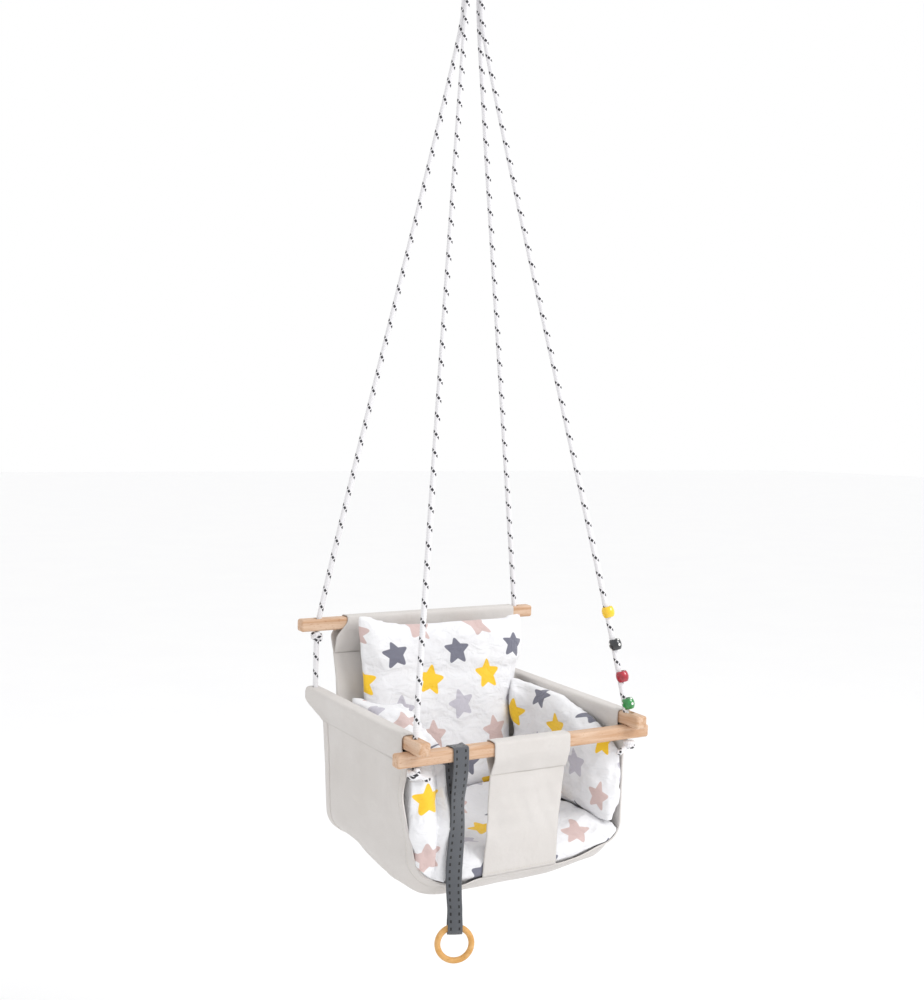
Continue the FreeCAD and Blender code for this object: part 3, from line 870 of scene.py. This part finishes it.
def star_lattice(cloth, across, along, seed):
    """The ink of one lattice of stars, and which of its two colours each row has."""
    plus, minus, times = (partial(cloth.math, kind) for kind in ("ADD", "SUBTRACT", "MULTIPLY"))
    column = cloth.math("ROUND", cloth.math("DIVIDE", across, STAR_STEP))
    row = cloth.math("ROUND", cloth.math("DIVIDE", along, 2 * STAR_ROW))
    which = cloth.add("CombineXYZ", {0: column, 1: row, 2: seed})
    chance = cloth.add("TexWhiteNoise", {"Vector": which}, out=1, noise_dimensions="3D")
    chances = cloth.add("SeparateColor", {0: chance}).node.outputs
    x = minus(across, times(column, STAR_STEP))
    y = minus(along, times(row, 2 * STAR_ROW))
    x = plus(x, cloth.math("MULTIPLY_ADD", chances[0], 0.006, -0.003))
    y = plus(y, cloth.math("MULTIPLY_ADD", chances[1], 0.006, -0.003))
    reach = cloth.math("SQRT", plus(times(x, x), times(y, y)))
    angle = plus(cloth.math("ARCTAN2", x, y), cloth.math("MULTIPLY_ADD", chances[2], 0.5, -0.25))
    fold = cloth.math("PINGPONG", angle, math.pi / 5)
    px = times(reach, cloth.math("COSINE", fold))
    py = times(reach, cloth.math("SINE", fold))
    waist_x, waist_y = STAR_WAIST * math.cos(math.pi / 5), STAR_WAIST * math.sin(math.pi / 5)
    edge = math.hypot(waist_y, STAR_TIP - waist_x)
    beyond = plus(times(minus(px, STAR_TIP), waist_y / edge),
                  times(py, (STAR_TIP - waist_x) / edge))
    blunt = minus(reach, STAR_TIP * 0.87)
    outside = cloth.math("SMOOTH_MAX", beyond, blunt, 0.004)
    ink = cloth.level(outside, -0.0002, 0.0005, 1.0, 0.0)
    return ink, cloth.math("FLOORED_MODULO", row, 2.0)


def star_cotton():
    """White cotton whose print follows the cut of each cushion's cover."""
    cloth = Finish("star_cotton_print", Roughness=0.8, Sheen_Weight=0.25, Sheen_Roughness=0.5,
                   Specular_IOR_Level=0.25)
    where = cloth.place()
    across, along = cloth.cloth_place()
    first, first_row = star_lattice(cloth, across, along, 1.0)
    second, second_row = star_lattice(cloth, cloth.math("ADD", across, STAR_STEP / 2),
                                      cloth.math("ADD", along, STAR_ROW), 2.0)
    cloud = cloth.speckle(where, 12.0, 3.0)
    ground = cloth.mix(cloth.level(cloud, 0.3, 0.7), tint("EDEDEF"), tint("E5E5E8"))
    ground = cloth.mix(first, ground, cloth.mix(first_row, tint("D0B8B4"), tint("F6C82E")))
    ground = cloth.mix(second, ground, cloth.mix(second_row, tint("737482"), tint("C3C0CA")))
    weave = cloth.weave(across, along, 0.0007)
    # The dips of the weave are painted a little darker: painted shade.
    cloth.colour(cloth.mix(cloth.level(weave, -1.0, 0.2, 0.07, 0.0), ground, tint("B9B6BE")))
    creases = cloth.speckle(cloth.stretched(where, (22, 22, 34)), 1.6, 3.0, Distortion=0.8)
    cloth.bumps((weave, 0.00005), (cloth.speckle(where, 60.0, 3.0), 0.0014), (creases, 0.005))
    return cloth.material


star_print = star_cotton()


# %% [markdown]
# ## Cushions
# A cushion is two pieces of cotton sewn together at the edge and stuffed. A block with many
# cells is pulled into that shape first: full in the middle, thin at its sewn edge, with sides
# that pull in between the corners. Then Blender's cloth solver blows it up a little, which
# gives the wrinkles that fabric makes when it can't stretch.

# %% Shape, stuff and sew a cushion


def cushion_block(cuts, place):
    """A closed block of cells, whose corner at (a, b, c), each from -1 to 1, goes to place."""
    bm = bmesh.new()
    bmesh.ops.create_cube(bm, size=2.0)
    bmesh.ops.subdivide_edges(bm, edges=bm.edges, cuts=cuts, use_grid_fill=True)
    for corner in bm.verts:
        corner.co = place(*corner.co)
    bmesh.ops.recalc_face_normals(bm, faces=bm.faces)
    return bm


STUFFING_FRAMES = 20


def as_it_looks(piece):
    """A piece's mesh with its modifiers worked in."""
    graph = bpy.context.evaluated_depsgraph_get()
    return bpy.data.meshes.new_from_object(piece.evaluated_get(graph))


def stuff(piece, kept_in, print_place, cap, voxel=0.005):
    """Blows a closed piece up as cloth, lets no point move further than the cap, and rounds it.
    kept_in takes a point in seat millimetres and gives where its neighbours let it be, and
    print_place gives the point's place on the printed cloth, in millimetres."""
    remesh = piece.modifiers.new("even cells", "REMESH")
    remesh.mode = "VOXEL"
    remesh.voxel_size = voxel
    cloth = piece.modifiers.new("stuffing", "CLOTH")
    settings = cloth.settings
    settings.use_pressure = True
    settings.uniform_pressure_force = 4.0
    settings.effector_weights.gravity = 0
    settings.tension_stiffness = 12
    settings.compression_stiffness = 12
    settings.bending_stiffness = 0.15
    cloth.point_cache.frame_start = 1
    cloth.point_cache.frame_end = STUFFING_FRAMES
    scene = bpy.context.scene
    scene.frame_set(1)
    start = np.array([corner.co[:] for corner in as_it_looks(piece).vertices])
    for frame_number in range(2, STUFFING_FRAMES + 1):
        scene.frame_set(frame_number)
    stuffed = as_it_looks(piece)
    moves = np.array([corner.co[:] for corner in stuffed.vertices]) - start
    far = np.linalg.norm(moves, axis=1)
    held = moves * np.minimum(1.0, cap / np.maximum(far, 1e-9))[:, None]
    stuffed.vertices.foreach_set("co", (start + held).ravel())
    level_seat = SEAT.inverted()
    for corner in stuffed.vertices:
        corner.co = seat(*kept_in(*(level_seat @ corner.co * 1000)))
    stuffed.update()
    cover = stuffed.uv_layers.new(name="cloth")
    flat = [print_place(*(level_seat @ corner.co * 1000)) for corner in stuffed.vertices]
    for loop in stuffed.loops:
        cover.data[loop.index].uv = [part * 0.001 for part in flat[loop.vertex_index]]
    scene.frame_set(1)
    piece.modifiers.clear()
    old = piece.data
    piece.data = stuffed
    bpy.data.meshes.remove(old)
    stuffed.shade_smooth()
    round_off = piece.modifiers.new("rounded", "SUBSURF")
    round_off.levels = round_off.render_levels = 1
    print(piece.name, len(stuffed.vertices), "points, moved up to",
          round(float(far.max()) * 1000, 1), "mm")


def star_cushion(name, node, cuts, place, kept_in, print_place, fill, **stuffing):
    """A stuffed cushion in star cotton, in place of the CAD model's block."""
    cushion = piece_from(cushion_block(cuts, place), name, star_print)
    stuff(cushion, kept_in, print_place, **stuffing)
    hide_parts(node)


def crown(a, c, sharp=4.0):
    """How full a pillow is at a place: 1 in the middle, near 0 at its sewn edge."""
    return (max(0.0, 1 - abs(a) ** sharp) * max(0.0, 1 - abs(c) ** sharp)) ** 0.5


def under_way(x, y):
    """The inside of the sling's floor under a point of the seat."""
    left, right = (np.interp(y, [12, 160], ends) for ends in ((72.0, 58.0), (28.0, 58.0)))
    beyond = max(0.0, -x - (HALF - left), x - (HALF - right))
    round_by = (left if x < 0 else right) - 2.0
    lift = round_by - math.sqrt(max(0.0, round_by ** 2 - min(beyond, round_by) ** 2))
    return floor_level(y) + 2.0 + lift + corner_rise(x, y)


def inside_sling(x, y, z):
    """A cushion's point, moved in where it would press through the sling."""
    wall = HALF - 2.4 - (10.6 if z > -30 else 0.0)
    x = min(max(x, -wall), wall)
    return x, y, max(z, under_way(x, y)) if z < -120 else z


def before_back(x, y, z):
    return x, min(y, back_line(z) - 1.5) if z < 50 else y, z


# %% The back cushion
BACK_LEAN = math.radians(11.84)


def back_cushion_point(a, b, c):
    z = between(-166, 104, (c + 1) / 2)
    left = np.interp(z, [-146, -20, 60, 104], [-126, -130, -130, -129])
    right = np.interp(z, [-146, -25, 14, 58, 104], [131, 139, 156, 168, 166])
    pull = 4 * (1 - a * a) * (abs(c) ** 6)
    x = between(left + 2 * (1 - c * c), right - 2 * (1 - c * c), (a + 1) / 2)
    z -= math.copysign(pull, c)
    full = 3.0 + 12.0 * crown(a, c)
    fold = 3.4 * hump(z + 0.03 * x, 26, 5.5) * eased(-b, 0, 1)
    dents = 4.0 * ripple(x * 0.02, z * 0.024, 41) + 2.4 * ripple(x * 0.05, z * 0.03, 44)
    dents *= eased(-b, -0.5, 1)
    z += (13 * hump(a, -1, 0.3) + 3 * ripple(a * 2.2, 3.0)) * eased(c, 0.3, 1)
    middle = 291 - (104 - z) * math.tan(BACK_LEAN) - 17.5
    return seat(x, middle + b * full + fold + dents, z)


def back_print_place(x, y, z):
    """The cover rolls away towards its top seam, where the print looks shorter."""
    return x + 20 + 0.3 * max(0, z - 62), -40 + 0.976 * (z - 56.5) + 0.4 * min(max(0, z - 60), 20)


star_cushion("star_back_cushion", "back_cushion", 22, back_cushion_point, before_back,
             back_print_place, fill=0.55, cap=0.007)

# %% The seat cushion


def seat_cushion_point(a, b, c):
    """The pad follows the sling: low in the middle, and up to the side cushions at its edges."""
    y = between(5 + 3 * a * a, 232, (b + 1) / 2)
    x = a * (170 - 3 * (1 - b * b))
    x = max(x, -between(112, 166, eased(y, 15, 70)))
    low = under_way(x, y) + 0.5
    high = min(-178 + 21 * (x / 130) ** 2, -155.5) - 7 * (1 - eased(y, 0, 26)) ** 2
    high += 26 * eased(y, 150, 222) * eased(-abs(x), -132, -100)
    middle, full = (low + high) / 2, max(3.0, (high - low) / 2)
    full *= 0.82 + 0.18 * crown(a, b, 16)
    dents = 4.5 * ripple(x * 0.02, y * 0.02, 51) + 2.0 * ripple(x * 0.05, y * 0.04, 53)
    dents *= eased(c, 0, 1)
    return seat(x, y, middle + c * full + dents)


def seat_print_place(x, y, z):
    return x - 102, y - 20 + (z + 172) * eased(-y, -45, -12)


star_cushion("star_seat_cushion", "seat_cushion", 20, seat_cushion_point, inside_sling,
             seat_print_place, fill=0.6, cap=0.006)

# %% The side cushions
SIDE_FULLNESS = [(-157, 149, 8), (-130, 151, 16), (-100, 152, 18), (-60, 152, 17), (-34, 148, 13),
                 (-14, 147, 10), (8, 147, 7)]      # height, middle, half thickness
SIDE_FRONT = [(-157, 7), (-124, 3), (-86, 10), (-56, 13), (-28, 32), (-14, 64), (-5, 104), (8, 150)]


def side_cushion_point(side, a, b, c):
    near_front = hump(b, -1, 0.55) if side < 0 else 0.0
    top = 7 - 11 * eased(b, 0.35, 1) if side < 0 else 3
    z = between(-159 - 44 * near_front, top, (c + 1) / 2)
    middle, full = (read_off(SIDE_FULLNESS, z, column) for column in (1, 2))
    front = read_off(SIDE_FRONT, z, 1)
    rear = 291 - (104 - z) * math.tan(BACK_LEAN) - 23
    y = between(front, rear, (b + 1) / 2)
    pinched = full * 0.3 * (1 - crown(b, 0, 10))
    full += 17 * near_front - pinched
    middle += math.copysign(pinched, -b) - 17 * near_front - 17 * eased(b, 0.5, 1)
    dents = 4.0 * ripple(y * 0.022, z * 0.022, 61 + side) + 2.5 * ripple(y * 0.06, z * 0.03, 64)
    dents -= 2.5 * hump(z, -92 + 0.1 * y, 9)
    y += near_front * (5 * ripple(a * 2.4, z * 0.014, 67) + 15 * hump(a, -0.4 - 0.2 * c, 0.26) - 5)
    return seat(side * (middle + a * full) - side * dents * eased(-a, 0, 1), y, z)


def side_print_place(x, y, z):
    """The cover's inner face is printed straight, and the print turns over its top and front."""
    outwards = abs(x) - 134
    if x < 0:
        across, along = between(y, 8 - outwards, eased(-y, -50, -34)) - 98, z + 5
    else:
        across, along = y - 118 - outwards * eased(-y, -44, -30), z - 35
    return across, along + outwards * eased(z, -22, -6)


for word, side in SIDES:
    star_cushion(f"star_{word}_cushion", f"{word}_side_cushion", 18,
                 partial(side_cushion_point, side), inside_sling, side_print_place,
                 fill=0.5, cap=0.005, voxel=0.004)

# %% [markdown]
# ## The ribbon
# A strip of slate grosgrain is folded over the front bar, sewn to itself below it, and sewn again
# into a loop that holds the wooden ring. Two rows of black running stitch follow its edges. It is
# modelled as one strip whose line is a NURBS path: up the back, over the bar, down the front,
# round the wooden ring and up again, with a slow turn in its width on the way down.

# %% Grosgrain
RIBBON_WIDTH = 0.023


def ribbed_tape():
    """Slate grosgrain with a row of black running stitch near each edge."""
    cloth = Finish("slate_grosgrain", Roughness=0.75, Sheen_Weight=0.3, Sheen_Roughness=0.5)
    across, along = cloth.cloth_place()
    ribs = cloth.wave(along, 0.0012)
    from_middle = cloth.math("ABSOLUTE", cloth.math("SUBTRACT", across, RIBBON_WIDTH / 2))
    in_row = cloth.strip(from_middle, 0.0066, 0.0013, 0.0016)
    phase = cloth.math("FRACT", cloth.math("DIVIDE", along, 0.0095))
    dashes = cloth.math("MULTIPLY", in_row, cloth.strip(phase, 0.5, 0.21, 0.24))
    # The ribs are painted lighter on their crests and darker in their troughs: painted light and
    # shade.
    slate = cloth.mix(cloth.level(ribs, -1.0, 1.0), tint("484B50"), tint("5B5E64"))
    cloud = cloth.level(cloth.speckle(cloth.place(), 60.0), 0.35, 0.7)
    slate = cloth.mix(cloud, slate, tint("505358"))
    cloth.colour(cloth.mix(dashes, slate, tint("141519")))
    cloth.bumps((ribs, 0.00015), (dashes, 0.0003))
    return cloth.material


# %% Fold the ribbon
ribbon_top = hinges["ribbon_swing"]
ring_top = hinges["ring_tilt"]
DROP = (ribbon_top.z - ring_top.z) * 1000
RIBBON_TURN = math.radians(-24)
FOLD_LINE = [(1.0, -DROP + 22), (0.9, -150), (0.8, -100), (1.0, -66), (5.5, -45), (10.6, -24),
             (11.0, -9), (11.3, 6), (9.3, 10.2), (0, 10.4), (-9.3, 10.4), (-10.6, 7),
             (-10.7, -7), (-10.3, -20), (-6.0, -45), (-1.2, -66), (-0.8, -100), (-0.9, -150),
             (-1.0, -DROP + 22),
             (-2.0, -DROP + 15), (-6.6, -DROP + 7), (-7.2, -DROP - 2), (-5.2, -DROP - 8.4),
             (0, -DROP - 10.2), (5.2, -DROP - 8.4), (7.2, -DROP - 2), (6.6, -DROP + 7),
             (2.0, -DROP + 15), (1.6, -DROP + 28)]
fold = folded_line(FOLD_LINE)


def ribbon_point(u, v):
    y, z, _ = fold.at(v)
    across = (u - 0.5) * RIBBON_WIDTH * 1000
    drop = min(max(-z / DROP, 0), 1)
    turn = RIBBON_TURN * eased(drop, 0.4, 0.9) + math.radians(12) * hump(drop, 0.32, 0.12)
    across *= 1 - 0.15 * eased(drop, 0.5, 0.95)
    sway = 2.2 * math.sin(math.tau * min(1, max(0, (drop - 0.2) / 0.7))) * eased(drop, 0.1, 0.4)
    cup = 0.9 * (2 * u - 1) ** 2 * eased(drop, 0.1, 0.3)
    lift = 0.0
    if z > 8:
        lift = 1.6 * eased(u, 0.7, 1.0) * eased(y, 0, 9)
    x = across * math.cos(turn) - (y + cup) * math.sin(turn) + sway * (1 - eased(drop, 0.86, 0.97))
    yy = across * math.sin(turn) + (y + cup) * math.cos(turn)
    return ribbon_top + Vector((x, yy, z + lift)) * 0.001


ribbon_flat = (RIBBON_WIDTH, fold.length * 0.001)
ribbon = thicken(piece_from(laid_grid(14, fold.count, ribbon_flat, ribbon_point),
                            "grosgrain_ribbon", ribbed_tape(), body=None), 0.0008)
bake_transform(ribbon)
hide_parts("ribbon_strap")
print("ribbon", round(fold.length), "mm long")

# %% [markdown]
# ## Floor, light and the last measures
# A large pale floor and an even, bright surround keep the cloth's own shades. One soft light
# from the front right gives the folds their form.

# %% Stage and lights
FLOOR_LEVEL = cad_box[0][2] - 0.4

floor_shape = bmesh.new()
bmesh.ops.create_grid(floor_shape, x_segments=2, y_segments=2, size=30)
bmesh.ops.translate(floor_shape, vec=(0, 0, FLOOR_LEVEL), verts=floor_shape.verts)
floor_paint = Finish("pale_floor", Roughness=0.9, Specular_IOR_Level=0.1)
floor_paint.colour(floor_paint.mix(floor_paint.speckle(floor_paint.place(), 3.0), tint("FDFDFD"),
                                   tint("FAFAFB")))
studio_floor = piece_from(floor_shape, "studio_floor", floor_paint.material, body=None)

world = bpy.data.worlds.new("studio")
bpy.context.scene.world = world
world.use_nodes = True
backdrop = world.node_tree.nodes["Background"].inputs
backdrop["Color"].default_value = (1.0, 1.0, 1.0, 1.0)
backdrop["Strength"].default_value = 1.0

light = bpy.data.lights.new("key", "AREA")
light.size = 1.1
light.energy = 32
lamp = bpy.data.objects.new("key", light)
bpy.context.scene.collection.objects.link(lamp)
lamp_place = Vector((1.3, -1.9, 0.4))
to_seat = seat(0, 140, -80) - lamp_place
lamp.matrix_world = (Matrix.Translation(lamp_place)
                     @ to_seat.to_track_quat("-Z", "Y").to_matrix().to_4x4())
bpy.context.scene.view_settings.view_transform = "Standard"
